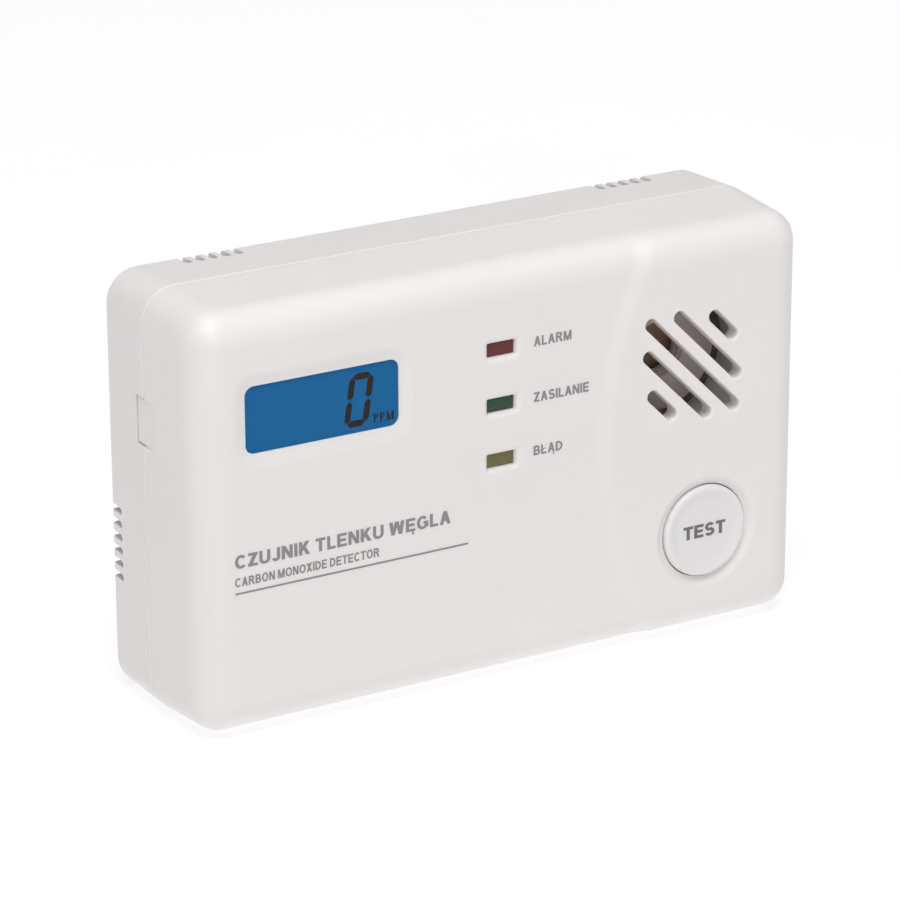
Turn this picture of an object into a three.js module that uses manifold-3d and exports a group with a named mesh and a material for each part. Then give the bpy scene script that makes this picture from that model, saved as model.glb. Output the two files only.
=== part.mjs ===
// A battery-powered carbon monoxide alarm: a two-part moulded case that holds a display, three indicator
// lamps, a test button, a sounder, a gas sensor, a circuit board and three AA cells behind a rear door.
//
// Millimetres. +X runs to the right of the front face, +Y to the back, +Z up. The origin is at the middle of
// the footprint, on the surface that the alarm stands on.
import * as THREE from "three";
import { mergeVertices } from "three/addons/utils/BufferGeometryUtils.js";
import Module from "manifold-3d";

const wasm = await Module();
wasm.setup();

// ---------------------------------------------------------------- driving dimensions
const WIDTH = 115;
const HEIGHT = 72;
const DEPTH = 31.6; // from the raised right panel to the back
const MIDDLE = HEIGHT / 2; // height of the case's centre line
const RAISE = 0.8; // how far the right panel stands proud of the main panel
const RAISED_FACE = -DEPTH / 2;
const MAIN_FACE = RAISED_FACE + RAISE;
const BACK = DEPTH / 2;
const PARTING = 1.8; // plane where the front and rear covers meet
const SEAM = 0.15; // gap between the two covers
const WALL = 2;
const INNER_FACE = MAIN_FACE + 2.2;
const INNER_BACK = BACK - WALL;
const CORNER = 6; // corner radius of the case outline
const EDGE = 5.8; // radius of the rounded front edge
const EDGE_START = MAIN_FACE + EDGE;
const REAR_EDGE = 1;
const FRONT_DRAFT = 0.76; // how much the front cover narrows, a side, towards the front
const REAR_DRAFT = 0.53;
const GAP = 0.3; // clearance between pieces that touch

// front face layout, in X and in height above the centre line
const WINDOW = { x: -34.3, z: 17.5, wide: 27.6, high: 11.2, corner: 1.6 };
const DISH = { wide: 32.4, high: 16, corner: 4, deep: 0.6 };
const LAMP = { x: -1.65, top: 21.3, pitch: 9.45, wide: 5.6, high: 2.8, recess: 0.9 };
const GRILLE = { x: 34.57, z: 12.41, width: 2.2, pitch: 4.2, halves: [3.6, 9.15, 12.8, 9.15, 3.6] };
const CHAMBER = { outer: 14, inner: 12.8 }; // sound duct behind the grille
const BUTTON = { x: 37.65, z: -17.4, radius: 7.95, bore: 8.2, dish: 10, travel: 0.8 };
const PANEL_EDGE = { radius: 67, left: 19.2, z: 0.9, ramp: 4 }; // arc that bounds the raised panel
const LATCH = { z: 14.05, high: 8.2, front: -1.4, back: 4.7, deep: 0.6, thick: 1.2 };
const VENT = { width: 1.3, start: 11.7, reach: 3.4, pitch: 2.3, topX: 39, sideZ: -4.3 };
const CASE_SCREW = { x: 50.8, z: 29.4, floor: 6 };
const KEYHOLE = { x: 48, z: 8, head: 4.2, neck: 2.2, rise: 8 };

// inside
const BOARD = { front: -4.2, back: -2.6, wide: 106, high: 62, notchX: 5.5, notchZ: 4.8 };
const BOARD_SCREWS = [[-50, -23.5], [-50, 4.5], [16, 28.5], [47.5, -8.5]];
const CELL = { radius: 7.1, length: 50.5, pitch: 15, y: 6.55 };
const BAY = { left: -38, right: 20, half: 22.8, floor: -0.8, thick: 1.4, wall: 2.2 };
const DOOR = { thick: 1.8, lap: 1.3, corner: 2, clip: 7.5 };
const SOUNDER = { x: 34.5, z: 12.3, radius: 11, front: -5.6, back: 3.4, port: 4.85, wall: 1.2 };
const SENSOR = { x: -46.9, z: -9.5, radius: 6.4 };

// ---------------------------------------------------------------- materials
const plastic = (color, roughness = 0.5) => new THREE.MeshStandardMaterial({ color, roughness, metalness: 0 });
const metal = (color, roughness = 0.35) => new THREE.MeshStandardMaterial({ color, roughness, metalness: 1 });
const MATERIAL = {
  shell: plastic(0xe8e4e2, 0.45),
  clear: plastic(0xdfe8ee, 0.05),
  display: plastic(0x206296, 0.3),
  carrier: plastic(0x2a2a2c, 0.6),
  diffuser: plastic(0xf2f2ee, 0.6),
  board: plastic(0x6a5850, 0.4),
  red: plastic(0x703438, 0.3),
  green: plastic(0x345840, 0.3),
  yellow: plastic(0x6e6c46, 0.3),
  black: plastic(0x1b1b1d, 0.5),
  brass: metal(0xb08a4a),
  steel: metal(0xb9bcc0),
  nickel: metal(0xd5d3cc, 0.25),
  jacket: plastic(0x2f4f78, 0.35),
};

// ---------------------------------------------------------------- solids
// A closed three.js geometry as a manifold solid, turned right side out.
function solid(geometry) {
  const flat = geometry.index ? geometry.toNonIndexed() : geometry;
  const bare = new THREE.BufferGeometry().setAttribute("position", flat.getAttribute("position"));
  const merged = mergeVertices(bare, 1e-4);
  const vertProperties = merged.attributes.position.array;
  const triVerts = new Uint32Array(merged.index.array);
  const made = new wasm.Manifold(new wasm.Mesh({ numProp: 3, vertProperties, triVerts }));
  if (made.volume() >= 0) return made;
  for (let i = 0; i < triVerts.length; i += 3) [triVerts[i], triVerts[i + 1]] = [triVerts[i + 1], triVerts[i]];
  return new wasm.Manifold(new wasm.Mesh({ numProp: 3, vertProperties, triVerts }));
}

function geometryOf(made) {
  const { vertProperties, triVerts } = made.getMesh();
  const geometry = new THREE.BufferGeometry();
  geometry.setAttribute("position", new THREE.BufferAttribute(vertProperties, 3));
  geometry.setIndex(new THREE.BufferAttribute(triVerts, 1));
  geometry.computeVertexNormals();
  return geometry;
}

const joined = (first, ...others) => others.reduce((sum, other) => sum.add(other), first);
const cut = (first, ...tools) => tools.reduce((rest, tool) => rest.subtract(tool), first);

// The largest body of a solid, without the specks that rounding leaves along faces that met.
const withoutCrumbs = (made) => made.decompose().reduce((a, b) => (a.volume() > b.volume() ? a : b));

// A box between two corners, given in any order along each axis.
function block(x0, x1, y0, y1, z0, z1) {
  const geometry = new THREE.BoxGeometry(Math.abs(x1 - x0), Math.abs(y1 - y0), Math.abs(z1 - z0));
  return solid(geometry.translate((x0 + x1) / 2, (y0 + y1) / 2, (z0 + z1) / 2));
}

// A box around (x, z) from y0 to y1.
const pad = (x, z, wide, high, y0, y1) => block(x - wide / 2, x + wide / 2, y0, y1, z - high / 2, z + high / 2);

// A flat outline drawn in X and Z, made solid from y0 to y1.
function plate(shape, y0, y1, curveSegments = 5) {
  const geometry = new THREE.ExtrudeGeometry(shape, { depth: y1 - y0, bevelEnabled: false, curveSegments });
  return solid(geometry.rotateX(Math.PI / 2).translate(0, y1, 0));
}

// A round piece about an axis along Y through (x, z). The profile is a list of [radius, y].
function turned(profile, x, z, segments = 28) {
  const points = profile.map(([radius, y]) => new THREE.Vector2(radius, y));
  return solid(new THREE.LatheGeometry(points, segments).translate(x, 0, z));
}

const disc = (radius, y0, y1, x, z, segments = 24) =>
  turned([[0, y0], [radius, y0], [radius, y1], [0, y1]], x, z, segments);

const tube = (outer, inner, y0, y1, x, z, segments = 32) =>
  turned([[inner, y0], [outer, y0], [outer, y1], [inner, y1], [inner, y0]], x, z, segments);

// Rounded rectangle centred at (x, z).
function roundedRectangle(x, z, wide, high, corner) {
  const [w, h] = [wide / 2 - corner, high / 2 - corner];
  const shape = new THREE.Shape();
  shape.absarc(x + w, z - h, corner, -Math.PI / 2, 0);
  shape.absarc(x + w, z + h, corner, 0, Math.PI / 2);
  shape.absarc(x - w, z + h, corner, Math.PI / 2, Math.PI);
  shape.absarc(x - w, z - h, corner, Math.PI, 1.5 * Math.PI);
  return shape;
}

const roundedPlate = (x, z, wide, high, corner, y0, y1) =>
  plate(roundedRectangle(x, z, wide, high, corner), y0, y1);

// Slot with round ends, centred at (x, z), its long axis turned by angle from +X.
function slotShape(x, z, half, radius, angle = 0) {
  const shape = new THREE.Shape();
  const [dx, dz] = [Math.cos(angle) * (half - radius), Math.sin(angle) * (half - radius)];
  shape.absarc(x + dx, z + dz, radius, angle - Math.PI / 2, angle + Math.PI / 2);
  shape.absarc(x - dx, z - dz, radius, angle + Math.PI / 2, angle + 1.5 * Math.PI);
  return shape;
}

// Skin through rings of equal point counts, closed by a fan at each end.
function loft(rings) {
  const count = rings[0].length;
  const position = rings.flat().flatMap((p) => [p.x, p.y, p.z]);
  const index = [];
  for (let r = 0; r + 1 < rings.length; r++) {
    for (let i = 0; i < count; i++) {
      const [a, b] = [r * count + i, r * count + ((i + 1) % count)];
      index.push(a, b, b + count, a, b + count, a + count);
    }
  }
  for (const ring of [0, rings.length - 1]) {
    const centre = rings[ring].reduce((sum, p) => sum.add(p), new THREE.Vector3()).divideScalar(count);
    const hub = position.length / 3;
    position.push(centre.x, centre.y, centre.z);
    for (let i = 0; i < count; i++) {
      const [a, b] = [ring * count + i, ring * count + ((i + 1) % count)];
      index.push(...(ring === 0 ? [hub, b, a] : [hub, a, b]));
    }
  }
  const geometry = new THREE.BufferGeometry();
  geometry.setAttribute("position", new THREE.Float32BufferAttribute(position, 3));
  geometry.setIndex(index);
  return solid(geometry);
}

// The case outline at depth y, drawn in by inset on three sides and by under at the bottom.
function caseRing(y, inset, under = inset) {
  const corner = Math.max(CORNER - inset, 0.35);
  const right = WIDTH / 2 - inset - corner;
  const top = HEIGHT - inset - corner;
  const bottom = under + corner;
  const ring = [];
  const centres = [[right, top], [-right, top], [-right, bottom], [right, bottom]];
  centres.forEach(([x, z], quarter) => {
    for (let i = 0; i <= 5; i++) {
      const angle = ((quarter + i / 5) * Math.PI) / 2;
      ring.push(new THREE.Vector3(x + corner * Math.cos(angle), y, z + corner * Math.sin(angle)));
    }
  });
  return ring;
}

// Rings of the drafted front of the case, from the plane at from to a face rounded at its edge.
function frontRings(from, face, edge, shell = 0) {
  const rings = [caseRing(from, shell)];
  for (let i = 0; i <= 6; i++) {
    const angle = ((i / 6) * Math.PI) / 2;
    const inset = shell + FRONT_DRAFT + edge * (1 - Math.cos(angle));
    rings.push(caseRing(face + edge * (1 - Math.sin(angle)), inset));
  }
  return rings;
}

// A wall that follows the case outline, between two insets.
const rim = (y0, y1, outer, inner) =>
  cut(loft([caseRing(y0, outer), caseRing(y1, outer)]), loft([caseRing(y0 - 1, inner), caseRing(y1 + 1, inner)]));

const group = new THREE.Group();
group.name = "carbon_monoxide_alarm";

function add(name, made, material) {
  const mesh = new THREE.Mesh(geometryOf(made), material);
  mesh.name = name;
  group.add(mesh);
}

// ---------------------------------------------------------------- front cover
// The outside of the front: the part inside the arc is brought forward, through a soft ramp along the arc.
function frontOutside(start) {
  const flush = loft(frontRings(start, MAIN_FACE, EDGE));
  const { radius, left, z, ramp } = PANEL_EDGE;
  const centre = [left + radius, MIDDLE + z];
  const steps = 5;
  const ringRadius = (i) => radius + (ramp * i) / steps;
  const within = (r) => disc(r, RAISED_FACE - 5, PARTING + 5, ...centre, 160);
  const foot = EDGE_START - 0.3; // the sides stay as they are behind this plane
  const skin = flush.intersect(block(-WIDTH, WIDTH, -DEPTH, foot, -1, HEIGHT + 1));
  const forward = (made) => {
    const { vertProperties, triVerts } = made.getMesh();
    for (let i = 0; i < vertProperties.length; i += 3) {
      const distance = Math.hypot(vertProperties[i] - centre[0], vertProperties[i + 2] - centre[1]);
      const height = 1 - THREE.MathUtils.smoothstep(distance, radius, radius + ramp * 0.98);
      if (vertProperties[i + 1] < foot - 0.01) vertProperties[i + 1] -= RAISE * height;
    }
    return new wasm.Manifold(new wasm.Mesh({ numProp: 3, vertProperties, triVerts }));
  };
  let body = joined(flush, forward(skin.intersect(within(radius))));
  for (let i = 0; i < steps; i++) {
    body = joined(body, forward(cut(skin.intersect(within(ringRadius(i + 1))), within(ringRadius(i)))));
  }
  return withoutCrumbs(body);
}

const lampHeights = () => [0, 1, 2].map((i) => MIDDLE + LAMP.top - i * LAMP.pitch);

function grilleSlots() {
  return GRILLE.halves.map((half, i) => {
    const offset = ((2 - i) * GRILLE.pitch) / Math.SQRT2;
    const [x, z] = [GRILLE.x + offset, MIDDLE + GRILLE.z + offset];
    return plate(slotShape(x, z, half, GRILLE.width / 2, -Math.PI / 4), RAISED_FACE - 1, INNER_FACE + 1);
  });
}

// The bevelled recess round the display, the window through its floor and the pocket for the display behind it.
function displayRecess() {
  const { x, z, wide, high, corner } = WINDOW;
  const outline = (y, w, h, r) =>
    roundedRectangle(x, MIDDLE + z, w, h, r).getPoints(5).map((p) => new THREE.Vector3(p.x, y, p.y));
  const recess = loft([
    outline(MAIN_FACE - 1, DISH.wide, DISH.high, DISH.corner),
    outline(MAIN_FACE, DISH.wide, DISH.high, DISH.corner),
    outline(MAIN_FACE + DISH.deep, wide, high, corner),
    outline(INNER_FACE + 1, wide, high, corner),
  ]);
  return joined(recess, pad(x, MIDDLE + z - 1, 31.6, 17, INNER_FACE - 0.6, INNER_FACE + 1));
}

// The bore for the button, its dished surround on the outside.
function buttonBore() {
  const { x, z, bore, dish } = BUTTON;
  const front = RAISED_FACE - 1;
  const profile = [[0, front], [dish, front], [dish, RAISED_FACE], [bore + 0.5, RAISED_FACE + 0.35],
    [bore, RAISED_FACE + 0.7], [bore, INNER_FACE + 1], [0, INNER_FACE + 1]];
  return turned(profile, x, MIDDLE + z, 40);
}

// The shallow recess in the side wall that the snap tongue lies in.
function latchRecess(side, deep) {
  const [x0, x1] = [side * (WIDTH / 2 - deep), side * (WIDTH / 2 + 1)];
  const z = MIDDLE + LATCH.z;
  return block(x0, x1, LATCH.front, LATCH.back, z - LATCH.high / 2, z + LATCH.high / 2);
}

function latchTongue(side, start) {
  const face = WIDTH / 2 - LATCH.deep;
  const z = MIDDLE + LATCH.z;
  const half = LATCH.high / 2 - GAP;
  return block(side * face, side * (face - LATCH.thick), start - 2, LATCH.back - GAP, z - half, z + half);
}

function caseScrewPlaces() {
  const places = [];
  for (const [side, x] of [["left", -CASE_SCREW.x], ["right", CASE_SCREW.x]]) {
    places.push([`top_${side}`, x, MIDDLE + CASE_SCREW.z], [`bottom_${side}`, x, MIDDLE - CASE_SCREW.z]);
  }
  return places;
}

function frontCover() {
  const start = PARTING - SEAM / 2;
  let body = frontOutside(start);
  const hollow = frontRings(start, INNER_FACE, EDGE - WALL, WALL);
  body = cut(body, loft([caseRing(start + 1, WALL), ...hollow]));
  body = joined(body, rim(start - 2.5, start - 0.6, WALL - 0.5, WALL + 1.2));
  body = joined(body, rim(start - 2.5, start + 1.5, WALL + GAP, WALL + 1.2));
  const root = INNER_FACE - 0.4;
  body = joined(body, tube(CHAMBER.outer, CHAMBER.inner, root, BOARD.front - 0.4, GRILLE.x, MIDDLE + GRILLE.z));
  for (const [, x, z] of caseScrewPlaces()) {
    body = cut(joined(body, disc(2.8, root, PARTING - GAP / 2, x, z, 16)), disc(1.3, -6.5, PARTING + 1, x, z, 12));
  }
  for (const [x, dz] of BOARD_SCREWS) {
    const z = MIDDLE + dz;
    body = cut(joined(body, disc(2.2, root, BOARD.front - GAP, x, z, 14)), disc(0.95, -10.5, 0, x, z, 10));
  }
  body = cut(body, buttonBore(), displayRecess(), ...grilleSlots());
  for (const z of lampHeights()) body = cut(body, pad(LAMP.x, z, LAMP.wide, LAMP.high, MAIN_FACE - 1, INNER_FACE + 1));
  for (const side of [-1, 1]) body = joined(cut(body, latchRecess(side, LATCH.deep)), latchTongue(side, start));
  return withoutCrumbs(body);
}

// ---------------------------------------------------------------- rear cover and battery door
// Vent slots that wrap over the rear edge: five at each end of the top, and six low on each side.
function vents() {
  const shape = slotShape(0, 0, (BACK + 2 - VENT.start) / 2, VENT.width / 2);
  const y = (BACK + 2 + VENT.start) / 2;
  const geometry = () =>
    new THREE.ExtrudeGeometry(shape, { depth: VENT.reach + 1, bevelEnabled: false, curveSegments: 3 });
  const slots = [];
  for (const side of [-1, 1]) {
    for (let i = -2; i <= 2; i++) {
      const x = side * VENT.topX + i * VENT.pitch;
      slots.push(solid(geometry().rotateZ(Math.PI / 2).translate(x, y, HEIGHT - VENT.reach)));
    }
    for (let i = 0; i < 6; i++) {
      const x = side > 0 ? WIDTH / 2 - VENT.reach : -WIDTH / 2 - 1;
      const z = MIDDLE + VENT.sideZ - i * VENT.pitch;
      slots.push(solid(geometry().rotateZ(Math.PI / 2).rotateY(Math.PI / 2).translate(x, y, z)));
    }
  }
  return slots;
}

function keyhole(side) {
  const { z, head, neck, rise } = KEYHOLE;
  const x = side * KEYHOLE.x;
  const slot = plate(slotShape(x, MIDDLE + z + rise / 2, rise / 2 + neck, neck, Math.PI / 2), INNER_BACK - 1, BACK + 1);
  return joined(disc(head, INNER_BACK - 1, BACK + 1, x, MIDDLE + z, 24), slot);
}

// The open box that the cells lie in, with its floor towards the circuit board.
function batteryBay() {
  const { left, right, half, floor, thick, wall } = BAY;
  return block(left - wall, right + wall, floor - thick, INNER_BACK + 0.5, MIDDLE - half - wall, MIDDLE + half + wall);
}

// Everything cut away for the cells: the bay, the rebate for the door, the clip and contact slots.
function bayCuts() {
  const { left, right, half, floor } = BAY;
  const lap = DOOR.lap + GAP;
  const cuts = [
    block(left, right, floor, BACK + 1, MIDDLE - half, MIDDLE + half),
    roundedPlate((left + right) / 2, MIDDLE, right - left + 2 * lap, 2 * (half + lap), DOOR.corner + GAP,
      BACK - DOOR.thick - GAP, BACK + 1),
  ];
  for (const side of [-1, 1]) cuts.push(pad(left - 1, MIDDLE + side * DOOR.clip, 3, 4, INNER_BACK - 3.5, INNER_BACK));
  for (const z of cellHeights()) {
    cuts.push(pad(left + 0.35, z, 1.1, 2.6, floor - 2, floor + 1), pad(right - 0.35, z, 1.1, 2.6, floor - 2, floor + 1));
  }
  return cuts;
}

function rearCover() {
  const start = PARTING + SEAM / 2;
  const edge = BACK - REAR_EDGE;
  const outside = [caseRing(start, 0), caseRing(edge, REAR_DRAFT, 0)];
  for (const angle of [30, 60, 90].map(THREE.MathUtils.degToRad)) {
    const inset = REAR_EDGE * (1 - Math.cos(angle));
    outside.push(caseRing(edge + REAR_EDGE * Math.sin(angle), REAR_DRAFT + inset, inset));
  }
  const inside = [caseRing(start - 1, WALL), caseRing(start, WALL), caseRing(INNER_BACK, WALL + REAR_DRAFT, WALL)];
  let body = joined(cut(loft(outside), loft(inside)), batteryBay());
  for (const [, x, z] of caseScrewPlaces()) {
    body = joined(body, disc(3.2, PARTING + GAP / 2, INNER_BACK + 0.5, x, z, 18));
    body = cut(body, disc(1.5, 0, CASE_SCREW.floor + 1, x, z, 14), disc(2.5, CASE_SCREW.floor, BACK + 1, x, z, 20));
  }
  body = cut(body, ...bayCuts(), ...vents(), keyhole(-1), keyhole(1));
  for (const side of [-1, 1]) body = cut(body, latchRecess(side, LATCH.deep + LATCH.thick + GAP));
  return body;
}

// The door: a plate with two tabs that hook under the cover at the left and two snap clips at the right.
function batteryDoor() {
  const inner = BACK - DOOR.thick;
  const { left, right, half } = BAY;
  let body = roundedPlate((left + right) / 2, MIDDLE, right - left + 2 * DOOR.lap, 2 * (half + DOOR.lap),
    DOOR.corner, inner, BACK);
  for (const side of [-1, 1]) {
    const z = MIDDLE + side * DOOR.clip;
    const [z0, z1] = [z - 1.6, z + 1.6];
    body = joined(body, block(left - 0.9, left + 0.4, inner - 1.7, inner + 0.2, z0, z1));
    body = joined(body, block(left - 3, left + 0.4, inner - 1.7, inner - 0.5, z0, z1));
    body = joined(body, block(right - 1.6, right - 0.4, inner - 2.6, inner + 0.2, z0, z1));
  }
  for (let i = 0; i < 4; i++) body = cut(body, pad(right - 3 - 2 * i, MIDDLE, 0.9, 14, BACK - 0.5, BACK + 1));
  return body;
}

// ---------------------------------------------------------------- display
// A liquid crystal display of two glass plates: the smaller front one fills the window, under a clear sheet.
function displayParts() {
  const { x, wide, high, corner } = WINDOW;
  const z = MIDDLE + WINDOW.z;
  const face = MAIN_FACE + DISH.deep;
  const plateFront = INNER_FACE - 0.5;
  const glass = joined(
    roundedPlate(x, z, wide - 0.4, high - 0.4, corner - 0.2, face + 0.5, plateFront + 0.1),
    pad(x, z - 1, 31, 16.4, plateFront, plateFront + 1.2),
  );
  const behind = plateFront + 1.3;
  const holder = cut(pad(x, z - 1, 34, 19.4, INNER_FACE + 0.1, BOARD.front - 0.1), pad(x, z - 1, 31.6, 17, -14, 0));
  add("display_window", roundedPlate(x, z, wide - 0.4, high - 0.4, corner - 0.2, face + 0.05, face + 0.4), MATERIAL.clear);
  add("display_holder", holder, MATERIAL.carrier);
  add("display_glass", glass, MATERIAL.display);
  add("display_light_guide", pad(x, z + 0.4, 31, 13.6, behind, behind + 2.5), MATERIAL.diffuser);
  add("display_contact_strip", pad(x, z - 8, 29, 1.9, behind, BOARD.front - 0.1), MATERIAL.black);
}

// ---------------------------------------------------------------- lamps
function lamp(z) {
  const front = MAIN_FACE + LAMP.recess;
  const back = front + 6.4;
  const body = joined(pad(LAMP.x, z, 5, 2.2, front, back), pad(LAMP.x, z, 5.8, 3, back - 1.2, back));
  const legs = [-1.27, 1.27].map((dx) => pad(LAMP.x + dx, z, 0.5, 0.5, back - 0.5, BOARD.front - 0.1));
  return joined(body, ...legs);
}

function lamps() {
  const names = [["alarm_lamp", MATERIAL.red], ["power_lamp", MATERIAL.green], ["fault_lamp", MATERIAL.yellow]];
  lampHeights().forEach((z, i) => add(names[i][0], lamp(z), names[i][1]));
  const back = MAIN_FACE + LAMP.recess + 6.4;
  let spacer = pad(LAMP.x, lampHeights()[1], 7, 24, back + 0.1, BOARD.front - 0.1);
  for (const z of lampHeights()) spacer = cut(spacer, pad(LAMP.x, z, 4, 1.4, back - 1, 0));
  add("lamp_spacer", spacer, MATERIAL.diffuser);
}

// ---------------------------------------------------------------- test button and its switch
function buttonParts() {
  const { radius } = BUTTON;
  const [x, z] = [BUTTON.x, MIDDLE + BUTTON.z];
  const front = RAISED_FACE;
  const cap = turned([[0, front + 0.5], [5.4, front + 0.42], [6.6, front + 0.15], [7.2, front],
    [radius - 0.35, front + 0.22], [radius, front + 0.8], [radius, INNER_FACE + 0.4], [9.3, INNER_FACE + 0.4],
    [9.3, INNER_FACE + 1.4], [7.2, INNER_FACE + 1.4], [7.2, front + 2], [1.6, front + 2], [1.6, -9.2], [0, -9.2]],
  x, z, 40);
  add("test_button", cap, MATERIAL.shell);
  const body = cut(pad(x, z, 6, 6, -8, BOARD.front - 0.1), disc(2, -9, -5.4, x, z, 18));
  add("button_switch", body, MATERIAL.black);
  add("switch_plunger", disc(1.7, -9.1, -6.6, x, z, 18), MATERIAL.diffuser);
}

// ---------------------------------------------------------------- board and what it carries
function circuitBoard() {
  const { front, back, wide, high, notchX, notchZ } = BOARD;
  let board = pad(0, MIDDLE, wide, high, front, back);
  for (const sx of [-1, 1]) {
    for (const sz of [-1, 1]) board = cut(board, pad((sx * wide) / 2, MIDDLE + (sz * high) / 2, 2 * notchX, 2 * notchZ, -6, 0));
  }
  for (const [x, dz] of BOARD_SCREWS) board = cut(board, disc(1.1, -6, 0, x, MIDDLE + dz, 12));
  return cut(board, disc(SOUNDER.radius + 0.4, -6, 0, SOUNDER.x, MIDDLE + SOUNDER.z, 40));
}

function boardParts() {
  const { front, back } = BOARD;
  const at = (dz) => MIDDLE + dz;
  add("circuit_board", circuitBoard(), MATERIAL.board);
  add("microcontroller", pad(4, at(-20), 10, 10, front - 1.7, front - 0.1), MATERIAL.black);
  add("timing_crystal", pad(-8, at(-20), 3.2, 8, front - 3.1, front - 0.1), MATERIAL.nickel);
  add("storage_capacitor", disc(3.15, back + 0.1, back + 11.1, 29, at(-6), 20), MATERIAL.black);
  const coil = [[0, 0.1], [4, 0.1], [4, 1.6], [2.9, 1.6], [2.9, 7.4], [4, 7.4], [4, 8.9], [0, 8.9]];
  add("sounder_coil", turned(coil.map(([r, y]) => [r, back + y]), 30, at(-17), 20), MATERIAL.black);
  const { x, z, radius } = SENSOR;
  const can = [[0, 0.1], [radius, 0.1], [radius, 10.4], [radius - 0.8, 11.2], [2.2, 11.2], [2.2, 10.2], [0, 10.2]];
  add("gas_sensor", turned(can.map(([r, y]) => [r, back + y]), x, at(z), 28), MATERIAL.steel);
  add("gas_sensor_filter", disc(1.9, back + 10.3, back + 11, x, at(z), 16), MATERIAL.diffuser);
  soundParts();
}

// The sounder: a drum through the circuit board, with a round port in front of a disc on a ledge.
function soundParts() {
  const [x, z] = [SOUNDER.x, MIDDLE + SOUNDER.z];
  const { radius, front, back, port, wall } = SOUNDER;
  const ledge = front + 4.6;
  const drum = [[port, front], [radius - 0.4, front], [radius, front + 0.4], [radius, back], [0, back],
    [0, back - wall], [radius - 2.6, back - wall], [radius - 2.6, ledge], [radius - 1.4, ledge],
    [radius - 1.4, front + wall], [port + 0.9, front + wall], [port + 0.9, front + 3], [port - 0.25, front + 3],
    [port - 0.25, front + 0.9], [port, front + 0.9], [port, front]];
  add("sounder", turned(drum, x, z, 40), MATERIAL.diffuser);
  const rim = radius - 1.7;
  const disk = [[0, ledge - 0.7], [rim - 2.8, ledge - 0.7], [rim - 2.8, ledge - 0.4], [rim, ledge - 0.4],
    [rim, ledge - 0.1], [0, ledge - 0.1]];
  add("sounder_disc", turned(disk, x, z, 32), MATERIAL.brass);
}

// ---------------------------------------------------------------- cells and contacts
const cellHeights = () => [1, 0, -1].map((i) => MIDDLE + i * CELL.pitch);

// A cell along X with its button end at tip, pointing the way given by side.
function cell(tip, side, z) {
  const { radius, length, y } = CELL;
  const profile = [[0, 0], [2.6, 0], [2.6, 1.3], [5.2, 1.3], [6.6, 1.5], [radius, 2.1], [radius, length - 0.5],
    [radius - 0.5, length], [0, length]];
  const points = profile.map(([r, along]) => new THREE.Vector2(r, along));
  const geometry = new THREE.LatheGeometry(points, 24).rotateZ((side * Math.PI) / 2);
  return solid(geometry.translate(tip, y, z));
}

// A conical spring that winds from a base ring towards the cell.
class Coil extends THREE.Curve {
  constructor(from, reach, z) {
    super();
    Object.assign(this, { from, reach, z });
  }

  getPoint(t, target = new THREE.Vector3()) {
    const angle = t * 3.5 * 2 * Math.PI;
    const radius = 4.2 - 1.6 * t;
    const x = this.from + this.reach * t;
    return target.set(x, CELL.y + radius * Math.cos(angle), this.z + radius * Math.sin(angle));
  }
}

// A sprung plate with a tail that runs through the bay's floor to the circuit board.
function contactPlate(wallX, side, z) {
  const near = wallX + side * 0.1;
  const far = wallX + side * 0.6;
  return joined(block(near, far, 1, 12.2, z - 3.9, z + 3.9), block(near, far, BOARD.back + 0.1, 1.2, z - 1, z + 1));
}

function springContact(wallX, side, z, cellEnd) {
  const from = wallX + side * 0.75;
  const reach = cellEnd - side * 0.45 - from;
  const shape = new THREE.Shape().absarc(0, 0, 0.32, 0, 2 * Math.PI);
  const path = new Coil(from, reach, z);
  const wire = new THREE.ExtrudeGeometry(shape, { steps: 44, curveSegments: 3, bevelEnabled: false, extrudePath: path });
  return joined(contactPlate(wallX, side, z), solid(wire));
}

function cells() {
  const names = ["top", "middle", "bottom"];
  cellHeights().forEach((z, i) => {
    const side = i === 1 ? -1 : 1; // the way from the button end towards the flat end
    const buttonWall = side > 0 ? BAY.left : BAY.right;
    const springWall = side > 0 ? BAY.right : BAY.left;
    const tip = buttonWall + side * 0.9;
    add(`cell_${names[i]}`, cell(tip, -side, z), MATERIAL.jacket);
    add(`contact_plate_${names[i]}`, contactPlate(buttonWall, side, z), MATERIAL.nickel);
    const cellEnd = tip + side * CELL.length;
    add(`contact_spring_${names[i]}`, springContact(springWall, -side, z, cellEnd), MATERIAL.nickel);
  });
}

// ---------------------------------------------------------------- screws
// A cross-head screw driven towards the front, with its head's underside at y.
function screw(x, z, y, head, high, shank, length) {
  const body = turned([[0, y - length], [shank * 0.4, y - length], [shank, y - length + 1], [shank, y], [head, y],
    [head, y + high * 0.6], [head * 0.7, y + high], [0, y + high]], x, z, 16);
  const arm = head * 1.1;
  return cut(body, pad(x, z, arm, 0.5, y + high - 0.7, y + high + 1), pad(x, z, 0.5, arm, y + high - 0.7, y + high + 1));
}

function screws() {
  for (const [name, x, z] of caseScrewPlaces()) {
    add(`case_screw_${name}`, screw(x, z, CASE_SCREW.floor + 0.1, 2.1, 1.6, 1, 11.6), MATERIAL.steel);
  }
  BOARD_SCREWS.forEach(([x, dz], i) => {
    add(`board_screw_${i + 1}`, screw(x, MIDDLE + dz, BOARD.back + 0.1, 1.8, 1.3, 0.7, 7.4), MATERIAL.steel);
  });
}

add("front_cover", frontCover(), MATERIAL.shell);
add("rear_cover", rearCover(), MATERIAL.shell);
add("battery_door", batteryDoor(), MATERIAL.shell);
displayParts();
lamps();
buttonParts();
boardParts();
cells();
screws();

export default group;
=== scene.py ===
import math

import bmesh
import bpy
from mathutils import Euler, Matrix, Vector
from mathutils.geometry import delaunay_2d_cdt


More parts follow.
